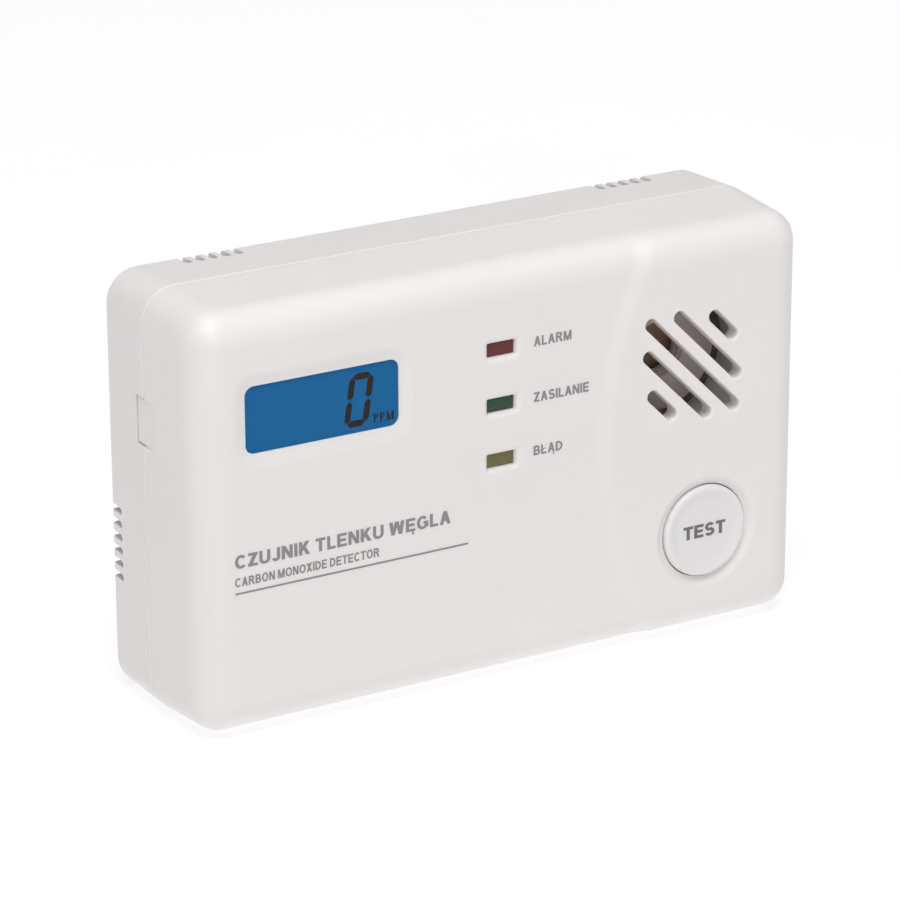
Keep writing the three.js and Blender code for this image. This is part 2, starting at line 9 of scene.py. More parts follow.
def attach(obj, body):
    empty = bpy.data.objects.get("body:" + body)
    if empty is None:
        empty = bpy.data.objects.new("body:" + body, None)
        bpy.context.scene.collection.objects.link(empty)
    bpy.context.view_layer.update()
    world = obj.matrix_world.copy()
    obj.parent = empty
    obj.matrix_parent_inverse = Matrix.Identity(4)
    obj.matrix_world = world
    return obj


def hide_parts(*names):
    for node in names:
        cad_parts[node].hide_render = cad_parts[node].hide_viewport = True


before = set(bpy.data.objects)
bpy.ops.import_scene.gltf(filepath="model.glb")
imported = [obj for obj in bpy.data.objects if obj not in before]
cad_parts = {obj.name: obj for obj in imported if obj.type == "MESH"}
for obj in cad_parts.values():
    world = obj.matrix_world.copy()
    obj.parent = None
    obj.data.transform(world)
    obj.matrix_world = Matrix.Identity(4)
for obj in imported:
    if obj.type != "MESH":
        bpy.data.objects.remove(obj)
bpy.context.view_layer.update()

# All sizes below are millimetres in the model's own frame: +X right, +Y back, +Z up, the underside at zero.
MM = 0.001
WIDTH, HEIGHT, DEPTH = 115.0, 72.0, 31.6
MIDDLE = HEIGHT / 2
RAISE = 0.8
RAISED_FACE = -DEPTH / 2
MAIN_FACE = RAISED_FACE + RAISE
BACK = DEPTH / 2
PARTING, SEAM, SEAM_ROUND = 1.8, 0.15, 0.3
WALL, CORNER, EDGE, REAR_EDGE = 2.0, 6.0, 5.8, 1.0
FRONT_DRAFT, REAR_DRAFT = 0.76, 0.53
INNER_FACE = MAIN_FACE + 2.2
INNER_BACK = BACK - WALL
FLAT_INSET = CORNER + 0.56
FLAT_HALF, FLAT_HIGH = WIDTH / 2 - CORNER, HEIGHT - 2 * CORNER
SIDES = (-1, 1)
PAST = 1.0  # how far a cutter runs past the face it opens
PANEL_ARC = {"radius": 67.0, "left": 19.2, "z": MIDDLE + 0.9, "ramp": 3.5}
BUTTON = {"x": 37.65, "z": MIDDLE - 17.4, "radius": 8.0, "bore": 8.15, "dish": 10.05, "deep": 0.78}
WINDOW = {"x": -34.3, "z": MIDDLE + 17.5, "wide": 27.6, "high": 11.2, "corner": 1.6}
DISH = {"wide": 32.6, "high": 16.2, "corner": 4.2, "deep": 0.6}
LAMP = {"x": -1.65, "wide": 5.1, "high": 2.3, "recess": 0.9, "long": 6.4, "half_x": 2.49, "half_z": 1.1}
LAMP_HEIGHTS = [MIDDLE + 21.3 - 9.45 * i for i in range(3)]
GRILLE_AT = (34.57, MIDDLE + 12.41)
SLOT_HALVES, SLOT_PITCH, SLOT_RADIUS = (3.6, 9.15, 12.8, 9.15, 3.6), 4.2, 1.1
DUCT_OUTER, DUCT_INNER = 14.0, 12.8
VENT = {"y": 14.75, "pitch": 2.3, "half": 3.05, "radius": 0.65, "deep": 3.4}
VENT_TOP_X, VENT_SIDE_Z = 39.0, MIDDLE - 4.3
LATCH = {"z": MIDDLE + 14.05, "half": 4.1, "front": -1.4, "back": 4.7, "gap": 0.3}
LATCH_FLUSH, LATCH_POCKET = 0.3, 2.1
SCREW_AT = (50.8, 29.4)
KEYHOLE = {"x": 48.0, "z": MIDDLE + 8, "head": 4.2, "neck": 2.2, "rise": 8.0}
BAY = {"left": -38.0, "right": 20.0, "half": 22.8, "floor": -0.8, "thick": 1.4, "wall": 2.2}
DOOR = {"thick": 1.8, "lap": 1.3, "gap": 0.3, "corner": 2.0, "clip": 7.5}
SOUNDER = {"x": 34.5, "z": MIDDLE + 12.3, "radius": 11.0, "front": -5.6, "back": 3.4}
CELL = {"radius": 7.1, "pitch": 15.0, "y": 6.55, "left_tip": -37.1, "right_tip": 19.1}


# ---------------- finishes
class Value:
    """A shader value that takes part in sums: each operator adds one Math node."""

    def __init__(self, finish, socket):
        self.finish, self.socket = finish, socket

    def _with(self, operation, *others):
        return self.finish.node("Math", {"operation": operation}, dict(enumerate((self, *others))))

    def __add__(self, other):
        return self._with("ADD", other)

    def __sub__(self, other):
        return self._with("SUBTRACT", other)

    def __mul__(self, other):
        return self._with("MULTIPLY", other)

    def __truediv__(self, other):
        return self._with("DIVIDE", other)

    def __rsub__(self, other):
        return self.finish.node("Math", {"operation": "SUBTRACT"}, {0: other, 1: self})

    def above(self, edge):
        return self._with("GREATER_THAN", edge)


class Finish:
    """A material built from nodes, ending in one Principled shader."""

    def __init__(self, name, **constants):
        self.material = bpy.data.materials.new(name)
        self.material.use_nodes = True
        self.tree = self.material.node_tree
        self.shader = self.tree.nodes["Principled BSDF"]
        self.place = self.node("TexCoord", out="Object")
        self.feed(**constants)

    def node(self, kind, settings=None, inputs=None, out=0):
        made = self.tree.nodes.new("ShaderNode" + kind)
        for name, value in (settings or {}).items():
            if name == "stops":
                self._stops(made.color_ramp, value)
            else:
                setattr(made, name, value)
        for name, value in (inputs or {}).items():
            if isinstance(value, Value):
                self.tree.links.new(value.socket, made.inputs[name])
            else:
                made.inputs[name].default_value = value
        return Value(self, made.outputs[out])

    def _stops(self, ramp, stops):
        while len(ramp.elements) < len(stops):
            ramp.elements.new(0.5)
        for element, (position, colour) in zip(ramp.elements, stops):
            element.position, element.color = position, (*colour, 1)

    def feed(self, **inputs):
        for name, value in inputs.items():
            socket = self.shader.inputs[name.replace("_", " ")]
            if isinstance(value, Value):
                self.tree.links.new(value.socket, socket)
            else:
                socket.default_value = value
        return self

    def noise(self, size, detail=2.0):
        """Even noise from 0 to 1, with grains about size millimetres across."""
        return self.node("TexNoise", {}, {"Vector": self.place, "Scale": 1 / (size * MM), "Detail": detail})

    def mix(self, factor, first, second):
        """A colour between two: each is a colour or a node's colour."""
        return self.node("Mix", {"data_type": "RGBA"}, {0: factor, 6: rgba(first), 7: rgba(second)}, out=2)

    def bump(self, height, distance, strength=1.0):
        """A normal from a height, with distance in millimetres."""
        return self.node("Bump", {}, {"Height": height, "Distance": distance * MM, "Strength": strength})

    def axis(self, name):
        return self.node("SeparateXYZ", {}, {0: self.place}, out="XYZ".index(name))


def rgba(colour):
    """A colour with its opacity; a node's colour passes through."""
    return colour if isinstance(colour, Value) or len(colour) == 4 else (*colour, 1.0)


def srgb(r, g, b):
    """A linear colour from the usual 0 to 255 numbers."""
    shares = (r / 255, g / 255, b / 255)
    return tuple(c / 12.92 if c <= 0.04045 else ((c + 0.055) / 1.055) ** 2.4 for c in shares)


def moulded(name, colour, roughness, grain=0.28, depth=0.012, glow=0.0):
    """Injection-moulded plastic: a fine eroded texture and uneven gloss; glow is how much light goes into it."""
    finish = Finish(name)
    if glow:
        finish.feed(Subsurface_Weight=glow, Subsurface_Radius=(1.0, 0.88, 0.84), Subsurface_Scale=0.9 * MM)
    fine, flow, patches = finish.noise(grain, 3), finish.noise(26, 2), finish.noise(7, 3)
    darker = tuple(c * 0.965 for c in colour)
    finish.feed(
        Base_Color=finish.mix(flow * 0.7 + patches * 0.3, darker, tuple(min(1, c * 1.02) for c in colour)),
        Roughness=patches * 0.08 + fine * 0.06 + (roughness - 0.07),
        Normal=finish.bump(fine + flow * 0.15, depth, 0.6),
    )
    return finish.material


def ink(name, colour, shine=0.5):
    """Pad-printed ink: thin, slightly uneven in cover and gloss."""
    finish = Finish(name, Specular_IOR_Level=shine)
    cover, grain = finish.noise(1.2, 2), finish.noise(0.12, 2)
    lighter = tuple(c * 1.25 for c in colour)
    finish.feed(
        Base_Color=finish.mix(cover * 0.5 + grain * 0.3, colour, lighter),
        Roughness=grain * 0.15 + 0.4,
        Normal=finish.bump(grain, 0.004),
    )
    return finish.material


def tinted_lamp(name, deep, light):
    """Tinted cloudy epoxy of a lamp: soft clouds, faint streaks, a glossy front."""
    finish = Finish(name, Coat_Weight=0.12, Coat_Roughness=0.1, Specular_IOR_Level=0.2)
    cloud, streak = finish.noise(1.6, 3), finish.noise(0.35, 2)
    finish.feed(
        Base_Color=finish.mix(cloud * 0.7 + streak * 0.3, deep, light),
        Roughness=streak * 0.12 + 0.22,
        Normal=finish.bump(cloud, 0.03, 0.5),
    )
    return finish.material


def plated(name, colour, roughness):
    """Plated or bare metal: fine scratches, dull patches."""
    finish = Finish(name, Metallic=1.0)
    patches, scratches = finish.noise(2.5, 4), finish.noise(0.2, 2)
    finish.feed(
        Base_Color=finish.mix(patches, tuple(c * 0.8 for c in colour), colour),
        Roughness=patches * 0.15 + scratches * 0.08 + roughness,
        Normal=finish.bump(scratches, 0.004),
    )
    return finish.material


def display_finish():
    """Blue backlit display: a touch brighter in the middle, with a very fine cell texture."""
    finish = Finish("display_blue", Specular_IOR_Level=0.0)
    slow, cells = finish.noise(14, 1), finish.noise(0.2, 1)
    across = (finish.axis("X") / MM - WINDOW["x"]) / 16
    up = (finish.axis("Z") / MM - WINDOW["z"]) / 8
    glow = 1 - (across * across + up * up) * 0.3
    deep, bright = srgb(28, 96, 150), srgb(36, 106, 160)
    finish.feed(
        Base_Color=finish.mix(glow * 0.8 + slow * 0.2, deep, bright),
        Roughness=cells * 0.1 + 0.3,
        Normal=finish.bump(cells, 0.002),
    )
    return finish.material


def clear_window():
    """Polished clear sheet: seen through, with a weak reflection that has faint moulding waves."""
    finish = Finish("window_clear", Base_Color=rgba((0.06, 0.12, 0.18)), IOR=1.49)
    waves, dust = finish.noise(9, 2), finish.noise(0.4, 2)
    finish.feed(
        Alpha=finish.noise(3, 2) * 0.02 + 0.01,
        Roughness=dust * 0.05 + 0.05,
        Normal=finish.bump(waves, 0.03, 0.4),
    )
    return finish.material


def board_finish():
    """Brown laminate with copper tracks under a clear mask, and tinned pads."""
    finish = Finish("board_brown", Coat_Weight=0.2, Coat_Roughness=0.2)
    grid = {"Vector": finish.place, "Scale": 1 / (2.4 * MM), "Randomness": 0.0}
    tracks = finish.node("TexBrick", {"offset": 0.5}, {
        "Vector": finish.place, "Scale": 1 / (6 * MM), "Mortar Size": 0.05, "Mortar Smooth": 0.2}, out="Fac")
    pads = 1 - finish.node("TexVoronoi", {"feature": "F1"}, grid, out="Distance").above(0.16)
    grain = finish.noise(0.3, 3)
    mask = finish.mix(tracks, srgb(150, 132, 122), srgb(172, 150, 136))
    finish.feed(
        Base_Color=finish.mix(pads * 0.8, mask, srgb(196, 196, 186)),
        Roughness=grain * 0.12 + 0.28,
        Metallic=pads * 0.7,
        Normal=finish.bump(tracks * 0.6 + grain * 0.1, 0.04),
    )
    return finish.material


def cell_jacket(name, side):
    """Printed film of a cell: a dark body, a pale band and a copper-coloured end."""
    finish = Finish(name, Coat_Weight=0.5, Coat_Roughness=0.12)
    along = (finish.axis("X") / MM + 12) * side / 25
    wear, grain = finish.noise(3, 4), finish.noise(0.3, 2)
    dark, pale = srgb(34, 58, 92), srgb(214, 214, 208)
    bands = [(0.0, dark), (0.60, dark), (0.61, pale), (0.64, pale), (0.65, srgb(184, 112, 62)),
             (1.0, srgb(196, 124, 72))]
    body = finish.node("ValToRGB", {"stops": bands}, {0: (along + 1) / 2})
    finish.feed(
        Base_Color=finish.mix(wear * 0.25, body, srgb(120, 120, 118)),
        Roughness=wear * 0.15 + 0.25,
        Normal=finish.bump(grain, 0.01, 0.5),
    )
    return finish.material


def ceramic_disc():
    """Dull brass, a little metallic, with uneven stains and fine grain."""
    finish = Finish("sounder_brass", Metallic=0.25)
    stain, grain = finish.noise(2.2, 3), finish.noise(0.2, 2)
    finish.feed(
        Base_Color=finish.mix(stain * 0.6 + grain * 0.2, srgb(158, 130, 112), srgb(186, 158, 134)),
        Roughness=stain * 0.2 + 0.4,
        Normal=finish.bump(grain, 0.01),
    )
    return finish.material


CASE = moulded("case_white", srgb(235, 231, 230), 0.42, glow=0.5)
BUTTON_WHITE = moulded("button_white", srgb(231, 228, 228), 0.38, 0.22, 0.008, glow=0.5)
BLACK = moulded("plastic_black", srgb(30, 28, 28), 0.5)
MILKY = moulded("plastic_milky", srgb(240, 240, 234), 0.5)
SOUNDER_WHITE = moulded("sounder_plastic", srgb(248, 236, 230), 0.45, glow=0.4)
GREY_INK = ink("ink_grey", srgb(134, 128, 130))
DARK_INK = ink("ink_dark_grey", srgb(106, 101, 104))
SEGMENT = ink("segment_dark", srgb(50, 43, 35), 0.0)
RED = tinted_lamp("lamp_red", srgb(93, 38, 38), srgb(114, 52, 52))
GREEN = tinted_lamp("lamp_green", srgb(36, 62, 44), srgb(58, 83, 62))
YELLOW = tinted_lamp("lamp_yellow", srgb(99, 96, 56), srgb(121, 118, 76))
STEEL = plated("steel_plated", srgb(196, 196, 192), 0.28)
NICKEL = plated("nickel_plated", srgb(212, 208, 198), 0.2)
DISPLAY = display_finish()
WINDOW_CLEAR = clear_window()
BOARD_BROWN = board_finish()
BRASS = ceramic_disc()


# ---------------- mesh making
ON_AXIS = 1e-4  # the radius of a ring that closes on its axis
SHARP_ANGLE = 32.0  # edges that turn more than this stay crisp


def new_object(name, made):
    """An object in the scene from an edited mesh."""
    data = bpy.data.meshes.new(name)
    made.to_mesh(data)
    made.free()
    made_object = bpy.data.objects.new(name, data)
    bpy.context.scene.collection.objects.link(made_object)
    return made_object


def mesh_object(name, vertices, faces):
    """A closed mesh from millimetre points, with its faces turned outwards."""
    made = bmesh.new()
    corners = [made.verts.new(Vector(v) * MM) for v in vertices]
    for face in faces:
        loop = [corners[i] for i in dict.fromkeys(face)]
        if len(loop) > 2:
            made.faces.new(loop)
    bmesh.ops.remove_doubles(made, verts=made.verts, dist=1e-7)
    bmesh.ops.dissolve_degenerate(made, edges=made.edges, dist=1e-7)
    bmesh.ops.recalc_face_normals(made, faces=made.faces)
    return new_object(name, made)


def circle(radius, x, z, steps):
    """Points of a circle in X and Z, anticlockwise from its right side."""
    turn = [2 * math.pi * i / steps for i in range(steps)]
    return [(x + radius * math.cos(a), z + radius * math.sin(a)) for a in turn]


def band_faces(rings):
    """The faces between each ring and the next."""
    count = len(rings[0])
    faces = []
    for start in range(0, (len(rings) - 1) * count, count):
        for i in range(count):
            a, b = start + i, start + (i + 1) % count
            faces.append([a, b, b + count, a + count])
    return faces


def loft(name, rings):
    """A solid through rings of equal point counts, closed by a flat face at each end."""
    count = len(rings[0])
    faces = [list(range(count)), [(len(rings) - 1) * count + i for i in range(count)], *band_faces(rings)]
    return mesh_object(name, [p for ring in rings for p in ring], faces)


def turned(name, profile, x, z, segments=64):
    """A round piece about an axis along Y: the profile's (radius, y) points start and end on the axis."""
    rings = []
    for radius, y in profile:
        rings.append([(px, y, pz) for px, pz in circle(max(radius, ON_AXIS), x, z, segments)])
    return loft(name, rings)


def tube(name, outer, inner, y0, y1, x, z, segments=64):
    """A tube about an axis along Y."""
    corners = ((outer, y0), (outer, y1), (inner, y1), (inner, y0))
    vertices, faces = [], []
    for i, (c, s) in enumerate(circle(1, 0, 0, segments)):
        vertices += [(x + r * c, y, z + r * s) for r, y in corners]
        j = (i + 1) % segments
        for k in range(4):
            faces.append([4 * i + k, 4 * j + k, 4 * j + (k + 1) % 4, 4 * i + (k + 1) % 4])
    return mesh_object(name, vertices, faces)


def quarter_round(steps):
    """How far along and how far inward a unit quarter round has gone, step by step."""
    turn = [math.pi / 2 * i / steps for i in range(steps + 1)]
    return [(math.sin(a), 1 - math.cos(a)) for a in turn]


def rounded_outline(x, z, wide, high, corner, steps=8):
    """Points of a rounded rectangle in X and Z, anticlockwise from its right side."""
    points = []
    for quarter, (sx, sz) in enumerate(((1, 1), (-1, 1), (-1, -1), (1, -1))):
        cx, cz = x + sx * (wide / 2 - corner), z + sz * (high / 2 - corner)
        for i in range(steps + 1):
            a = (quarter + i / steps) * math.pi / 2
            points.append((cx + corner * math.cos(a), cz + corner * math.sin(a)))
    return points


def slot_outline(x, z, half, radius, angle=0.0, steps=12):
    """Points of a slot with round ends, its long axis turned by angle from +X."""
    points = []
    for end in (1, -1):
        cx = x + end * (half - radius) * math.cos(angle)
        cz = z + end * (half - radius) * math.sin(angle)
        for i in range(steps + 1):
            a = angle + (math.pi if end < 0 else 0) - math.pi / 2 + math.pi * i / steps
            points.append((cx + radius * math.cos(a), cz + radius * math.sin(a)))
    return points


def prism(name, outline, y0, y1):
    """An outline in X and Z, carried from y0 to y1."""
    return loft(name, [[(x, y, z) for x, z in outline] for y in (y0, y1)])


def block(name, x0, x1, y0, y1, z0, z1):
    """A box between two corners."""
    return prism(name, [(x0, z0), (x1, z0), (x1, z1), (x0, z1)], y0, y1)


def flared(name, outline_at, face, flare, steps):
    """A cutter through the front wall whose mouth opens out in a quarter round at the face it enters."""
    rings = [[(x, face - PAST, z) for x, z in outline_at(flare)]]
    for along, inward in quarter_round(steps):
        rings.append([(x, face + flare * inward, z) for x, z in outline_at(flare * (1 - along))])
    rings.append([(x, INNER_FACE + PAST, z) for x, z in outline_at(0.0)])
    return loft(name, rings)


def merged(name, pieces):
    """Several solids that don't touch, as one object."""
    made = bmesh.new()
    for piece in pieces:
        made.from_mesh(piece.data)
        bpy.data.objects.remove(piece)
    return new_object(name, made)


def combined(target, tool, operation="DIFFERENCE"):
    """Cuts tool out of target, or joins it on, and keeps the result as target's own mesh."""
    change = target.modifiers.new("change", "BOOLEAN")
    change.operation, change.solver, change.object = operation, "EXACT", tool
    bpy.context.view_layer.update()
    result = bpy.data.meshes.new_from_object(target.evaluated_get(bpy.context.evaluated_depsgraph_get()))
    target.modifiers.clear()
    target.data = result
    bpy.data.objects.remove(tool)


def finished(piece, body, slot, finish, *nodes, bevel=0.0):
    """Gives a piece its finish and smooth shading, and hangs it on its body."""
    piece.data.materials.clear()
    piece.data.materials.append(finish)
    if bevel:
        rounding = piece.modifiers.new("rounding", "BEVEL")
        rounding.width, rounding.segments, rounding.limit_method = bevel * MM, 3, "ANGLE"
        rounding.angle_limit = math.radians(40)
    for polygon in piece.data.polygons:
        polygon.use_smooth = True
    piece.data.set_sharp_from_angle(angle=math.radians(SHARP_ANGLE))
    even = piece.modifiers.new("even_shading", "WEIGHTED_NORMAL")
    even.keep_sharp, even.weight, even.mode = True, 60, "FACE_AREA"
    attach(piece, body)
    if nodes:
        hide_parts(*nodes)


# ---------------- case outline
def smooth(t):
    """An even rise from 0 to 1 that starts and ends level."""
    t = min(1.0, max(0.0, t))
    return t * t * (3 - 2 * t)


# The faces' columns crowd together at the panel's ramp, which takes the middle run of them.
RAMP_COLUMNS = [15.4 + 4 * i / 14 for i in range(15)]
COLUMNS = [-FLAT_HALF, -47, -40, -32, -24, -16, -8, 0, 5, 9, 12, 13.6, 14.5, 15.1, *RAMP_COLUMNS,
           19.7, 20.3, 21.4, 24, 28, 33, 38, 43, 47, FLAT_HALF]
ROWS = [FLAT_HIGH * (i / 32 - 0.5) for i in range(33)]
CORNER_STEPS = 10


def panel_shift(z):
    """How far right of its leftmost point the panel's arc is at height z."""
    radius = PANEL_ARC["radius"]
    return radius - math.sqrt(radius * radius - (z - PANEL_ARC["z"]) ** 2)


def column_x(base, share, z):
    """A column's place: near the panel's edge it follows the arc."""
    follow = smooth((base + 12) / 20) * smooth((50 - base) / 22)
    return base * share + panel_shift(z) * follow


def panel_rise(x, z):
    """Height of the raised panel above the main one, as a share from 0 to 1."""
    distance = math.hypot(x - PANEL_ARC["left"] - PANEL_ARC["radius"], z - PANEL_ARC["z"])
    return 1 - smooth((distance - PANEL_ARC["radius"]) / PANEL_ARC["ramp"])


def case_ring(y, inset, under=None, lift=0.0):
    """One ring of the case: under is its inset at the bottom, lift its share of the panel's step."""
    under = inset if under is None else under
    corner = max(CORNER - inset, 0.0)
    right, top, bottom = WIDTH / 2 - inset - corner, HEIGHT - inset - corner, under + corner
    share, tall = right / FLAT_HALF, (top - bottom) / FLAT_HIGH
    centre = (top + bottom) / 2
    points = []

    def edge(z, reverse):
        for base in reversed(COLUMNS[1:-1]) if reverse else COLUMNS[1:-1]:
            points.append((column_x(base, share, z), z))

    for quarter, (sx, cz) in enumerate(((1, top), (-1, top), (-1, bottom), (1, bottom))):
        for i in range(CORNER_STEPS + 1):
            a = (quarter + i / CORNER_STEPS) * math.pi / 2
            points.append((sx * right + corner * math.cos(a), cz + corner * math.sin(a)))
        if quarter == 0:
            edge(top + corner, True)
        elif quarter == 1:
            points += [(-right - corner, centre + row * tall) for row in reversed(ROWS[1:-1])]
        elif quarter == 2:
            edge(bottom - corner, False)
        else:
            points += [(right + corner, centre + row * tall) for row in ROWS[1:-1]]
    return [(x, y - RAISE * lift * panel_rise(x, z), z) for x, z in points]


def face_grid(y, inset, lift=0.0):
    """Rows of points over the flat inside a ring whose corners have closed to a point."""
    right, top, bottom = WIDTH / 2 - inset, HEIGHT - inset, inset
    centre, tall = (top + bottom) / 2, (top - bottom) / FLAT_HIGH
    rows = []
    for row in ROWS:
        z = centre + row * tall
        points = [(column_x(base, right / FLAT_HALF, z), z) for base in COLUMNS]
        rows.append([(x, y - RAISE * lift * panel_rise(x, z), z) for x, z in points])
    return rows


def shell(name, rings, front, back):
    """A closed skin through rings, with a grid of faces over each end."""
    vertices = [p for ring in rings for p in ring]
    faces = band_faces(rings)
    for grid in (front, back):
        start, wide = len(vertices), len(COLUMNS)
        vertices += [p for row in grid for p in row]
        for j in range(len(ROWS) - 1):
            for i in range(wide - 1):
                a = start + j * wide + i
                faces.append([a, a + 1, a + 1 + wide, a + wide])
    return mesh_object(name, vertices, faces)


# ---------------- front cover
def front_skin():
    """The outside and inside of the front cover, with the rounded lip that meets the rear cover."""
    start = PARTING - SEAM / 2
    side_end = start - SEAM_ROUND
    rings = []
    for along, inward in reversed(quarter_round(12)):
        inset = FRONT_DRAFT + (FLAT_INSET - FRONT_DRAFT) * inward
        rings.append(case_ring(MAIN_FACE + EDGE * (1 - along), inset, lift=1.0))
    for share in (0.8, 0.6, 0.4, 0.2):
        y = side_end - (side_end - MAIN_FACE - EDGE) * share
        rings.append(case_ring(y, FRONT_DRAFT * share, lift=share))
    for along, inward in quarter_round(4):
        rings.append(case_ring(start - SEAM_ROUND * (1 - along), SEAM_ROUND * inward))
    lip, inner = WALL + 0.3, WALL + 1.2
    rings += [case_ring(start, lip), case_ring(start + 1.5, lip), case_ring(start + 1.5, inner),
              case_ring(start - 2.5, inner), case_ring(start - 3.4, WALL + 0.25)]
    first = WALL + FRONT_DRAFT
    for along, inward in quarter_round(6):
        inset = first + (FLAT_INSET - first) * inward
        rings.append(case_ring(INNER_FACE + (EDGE - WALL) * (1 - along), inset))
    return shell("front_cover_shape", rings, face_grid(MAIN_FACE, FLAT_INSET, lift=1.0),
                 face_grid(INNER_FACE, FLAT_INSET))


def grille_cutters():
    """Parallel slots that fall to the right, longest in the middle."""
    cutters = []
    for i, half in enumerate(SLOT_HALVES):
        offset = (2 - i) * SLOT_PITCH / math.sqrt(2)
        x, z = GRILLE_AT[0] + offset, GRILLE_AT[1] + offset

        def outline(grow):
            return slot_outline(x, z, half + grow, SLOT_RADIUS + grow, -math.pi / 4)

        cutters.append(flared(f"slot_{i}", outline, RAISED_FACE, 0.4, 5))
    return cutters


def lamp_cutters():
    """Openings with wide soft mouths, down to the lamps."""
    cutters = []
    for i, z in enumerate(LAMP_HEIGHTS):
        def outline(grow):
            wide, high = LAMP["wide"] + 2 * grow, LAMP["high"] + 2 * grow
            return rounded_outline(LAMP["x"], z, wide, high, 0.1 + grow, 4)

        cutters.append(flared(f"lamp_opening_{i}", outline, MAIN_FACE, 1.1, 8))
    return cutters


def display_cutter():
    """A soft dish down to the window's edge, then straight through."""
    deep, steps, edge_share = DISH["deep"], 12, -0.012
    depths = [(-PAST, 1.0)]
    depths += [(deep * smooth(i / steps) * 0.999, 1 - i / steps) for i in range(steps + 1)]
    depths += [(deep + 0.08, edge_share), (INNER_FACE - MAIN_FACE + PAST, edge_share)]
    rings = []
    for depth, share in depths:
        wide, high, corner = (WINDOW[k] + (DISH[k] - WINDOW[k]) * share for k in ("wide", "high", "corner"))
        outline = rounded_outline(WINDOW["x"], WINDOW["z"], wide, high, corner)
        rings.append([(x, MAIN_FACE + depth, z) for x, z in outline])
    return loft("display_cut", rings)


def button_cutter():
    """A soft dish down to the bore, whose gap is a little wider below and to the right of the button."""
    x, z = BUTTON["x"] + 0.05, BUTTON["z"] - 0.04
    bore, dish, bottom, steps = BUTTON["bore"], BUTTON["dish"], RAISED_FACE + BUTTON["deep"], 8
    profile = [(0, RAISED_FACE - PAST), (dish, RAISED_FACE - PAST)]
    profile += [(dish - (dish - bore - 0.3) * i / steps, RAISED_FACE + BUTTON["deep"] * smooth(i / steps))
                for i in range(steps + 1)]
    profile += [(bore + 0.08, bottom + 0.06), (bore, bottom + 0.25), (bore, INNER_FACE + PAST),
                (0, INNER_FACE + PAST)]
    return turned("button_cut", profile, x, z, 96)


def latch_cutter(side, deep):
    """The opening for a snap tongue, deep from the case's side."""
    x0, x1 = sorted((side * (WIDTH / 2 - deep), side * (WIDTH / 2 + PAST)))
    z, half = LATCH["z"], LATCH["half"]
    return block("latch_cut", x0, x1, LATCH["front"], LATCH["back"], z - half, z + half)


def latch_tongue(side):
    """A tongue on the front cover that reaches past the seam into the rear cover's pocket."""
    x0, x1 = sorted((side * (WIDTH / 2 - LATCH_FLUSH), side * (WIDTH / 2 - LATCH_FLUSH - 1.5)))
    z, half = LATCH["z"], LATCH["half"] - LATCH["gap"]
    return block("latch_tongue", x0, x1, PARTING - 2, LATCH["back"] - LATCH["gap"], z - half, z + half)


def front_cover():
    """The front cover with its duct behind the grille, its openings and its snap tongues."""
    cover = front_skin()
    duct = tube("duct", DUCT_OUTER, DUCT_INNER, INNER_FACE - 0.4, SOUNDER["front"] + 1, *GRILLE_AT)
    combined(cover, duct, "UNION")
    cuts = grille_cutters() + lamp_cutters() + [display_cutter(), button_cutter()]
    cuts += [latch_cutter(side, LATCH_FLUSH) for side in SIDES]
    combined(cover, merged("front_cuts", cuts))
    for side in SIDES:
        combined(cover, latch_tongue(side), "UNION")
    cover.name = "front_cover_moulding"
    finished(cover, "case", "case", CASE, "front_cover")


# ---------------- rear cover
def rear_skin():
    """The outside and inside of the rear cover, whose underside is square to the back."""
    start, edge = PARTING + SEAM / 2, BACK - REAR_EDGE
    rings = [case_ring(BACK, CORNER), case_ring(BACK, REAR_DRAFT + REAR_EDGE + 0.6, REAR_EDGE + 0.6)]
    for along, inward in reversed(quarter_round(6)):
        rings.append(case_ring(edge + REAR_EDGE * along, REAR_DRAFT + REAR_EDGE * inward, REAR_EDGE * inward))
    rings.append(case_ring((edge + start) / 2, REAR_DRAFT / 2, 0))
    for along, inward in quarter_round(4):
        rings.append(case_ring(start + SEAM_ROUND * (1 - along), SEAM_ROUND * inward))
    rings += [case_ring(start, WALL), case_ring(INNER_BACK, WALL + REAR_DRAFT, WALL)]
    rings.append(case_ring(INNER_BACK, CORNER))
    return shell("rear_cover_shape", rings, face_grid(BACK, CORNER), face_grid(INNER_BACK, CORNER))


def vent_cutters():
    """Slots over the back edge: five in each half of the top and six in each side."""
    outline = slot_outline(VENT["y"], 0, VENT["half"], VENT["radius"], 0, 6)
    heights, widths = ((whole - VENT["deep"], whole + PAST) for whole in (HEIGHT, WIDTH / 2))
    cutters = []
    for side in SIDES:
        for i in range(-2, 3):
            x = side * VENT_TOP_X + i * VENT["pitch"]
            cutters.append(loft("vent", [[(x + q, y, z) for y, q in outline] for z in heights]))
        for i in range(6):
            z = VENT_SIDE_Z - i * VENT["pitch"]
            cutters.append(loft("vent", [[(side * x, y, z + q) for y, q in outline] for x in widths]))
    return cutters


def keyhole_outline(x):
    """A round head opening with a narrower slot rising from it."""
    z, head, neck, rise = (KEYHOLE[k] for k in ("z", "head", "neck", "rise"))
    meet = math.asin(neck / head)
    points = []
    for i in range(33):
        a = math.pi / 2 + meet + (2 * math.pi - 2 * meet) * i / 32
        points.append((x + head * math.cos(a), z + head * math.sin(a)))
    for i in range(13):
        a = math.pi * i / 12
        points.append((x + neck * math.cos(a), z + rise + neck * math.sin(a)))
    return points


def screw_well(x, z):
    """The stepped bore for a case screw: clearance for its shank, then for its head, with a softened mouth."""
    shank, head, mouth, step = 1.5, 2.5, 2.85, 6.0
    profile = [(0, 0), (shank, 0), (shank, step), (head, step), (head, BACK - 0.3), (head + 0.1, BACK - 0.1),
               (mouth, BACK), (mouth, BACK + PAST), (0, BACK + PAST)]
    return turned("screw_well", profile, x, z, 40)


